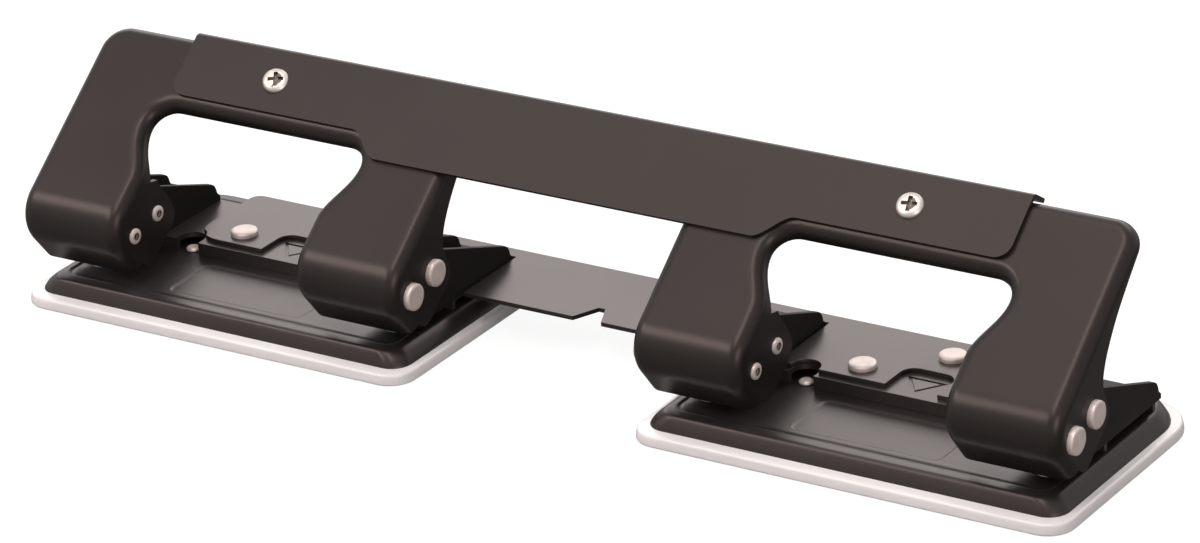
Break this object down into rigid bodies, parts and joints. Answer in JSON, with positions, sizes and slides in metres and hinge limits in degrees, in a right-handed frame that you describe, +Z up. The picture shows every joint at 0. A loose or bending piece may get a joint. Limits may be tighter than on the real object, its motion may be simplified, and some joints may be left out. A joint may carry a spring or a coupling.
{
  "type": "four-hole punch",
  "caption": "Desk punch for filing holes: twin-punch units joined by a plate and one lever bar, with brackets, rivets, springs and clip-on chip trays.",
  "frame": {"origin": "middle of the part on the surface that the chip trays stand on", "axes": "+Z up, +Y to the rear, away from the side where the paper goes in, +X to the right along the row of punches"},
  "size_m": [0.2636, 0.062, 0.0552],
  "materials": {
    "lever_coat": "satin",
    "base_coat": "satin",
    "bracket_coat": "satin",
    "plate_coat": "satin",
    "tray_plastic": "satin",
    "rivet_steel": "satin",
    "screw_steel": "polished",
    "punch_steel": "satin",
    "spring_steel": "satin"
  },
  "bodies": {
    "base": {"base_pan_left": "base_coat", "base_pan_right": "base_coat", "chip_tray_left": "tray_plastic", "chip_tray_right": "tray_plastic", "body_plate_left": "base_coat", "body_plate_right": "base_coat", "bracket_1": "bracket_coat", "bracket_2": "bracket_coat", "bracket_3": "bracket_coat", "bracket_4": "bracket_coat", "connecting_plate": "plate_coat", "plate_rivets": "rivet_steel", "locating_rivets": "rivet_steel", "spring_1": "spring_steel", "spring_2": "spring_steel", "spring_3": "spring_steel", "spring_4": "spring_steel"},
    "lever": {"lever_left": "lever_coat", "lever_right": "lever_coat", "handle_cover": "lever_coat", "cover_screws": "screw_steel", "pivot_rivets": "rivet_steel", "driver_rivets": "rivet_steel"},
    "punch_1": {"punch_1": "punch_steel"},
    "punch_2": {"punch_2": "punch_steel"},
    "punch_3": {"punch_3": "punch_steel"},
    "punch_4": {"punch_4": "punch_steel"}
  },
  "joints": [
    {"name": "lever_hinge", "type": "hinge", "parent": "base", "child": "lever", "pos_m": [0, -0.0228, 0.0186], "axis": [-1, 0, 0], "range_deg": [0, 36], "stiffness_Nm_per_rad": 0.6, "springref_deg": -20.05},
    {"name": "punch_1_slide", "type": "slide", "parent": "base", "child": "punch_1", "axis": [0, 0, -1], "range_m": [0, 0.00543], "deforming": ["spring_1"]},
    {"name": "punch_2_slide", "type": "slide", "parent": "base", "child": "punch_2", "axis": [0, 0, -1], "range_m": [0, 0.00543], "deforming": ["spring_2"]},
    {"name": "punch_3_slide", "type": "slide", "parent": "base", "child": "punch_3", "axis": [0, 0, -1], "range_m": [0, 0.00543], "deforming": ["spring_3"]},
    {"name": "punch_4_slide", "type": "slide", "parent": "base", "child": "punch_4", "axis": [0, 0, -1], "range_m": [0, 0.00543], "deforming": ["spring_4"]}
  ],
  "couplings": [
    {"joint": "punch_1_slide", "follows": "lever_hinge", "m_per_rad": 0.008634},
    {"joint": "punch_2_slide", "follows": "lever_hinge", "m_per_rad": 0.008634},
    {"joint": "punch_3_slide", "follows": "lever_hinge", "m_per_rad": 0.008634},
    {"joint": "punch_4_slide", "follows": "lever_hinge", "m_per_rad": 0.008634}
  ]
}
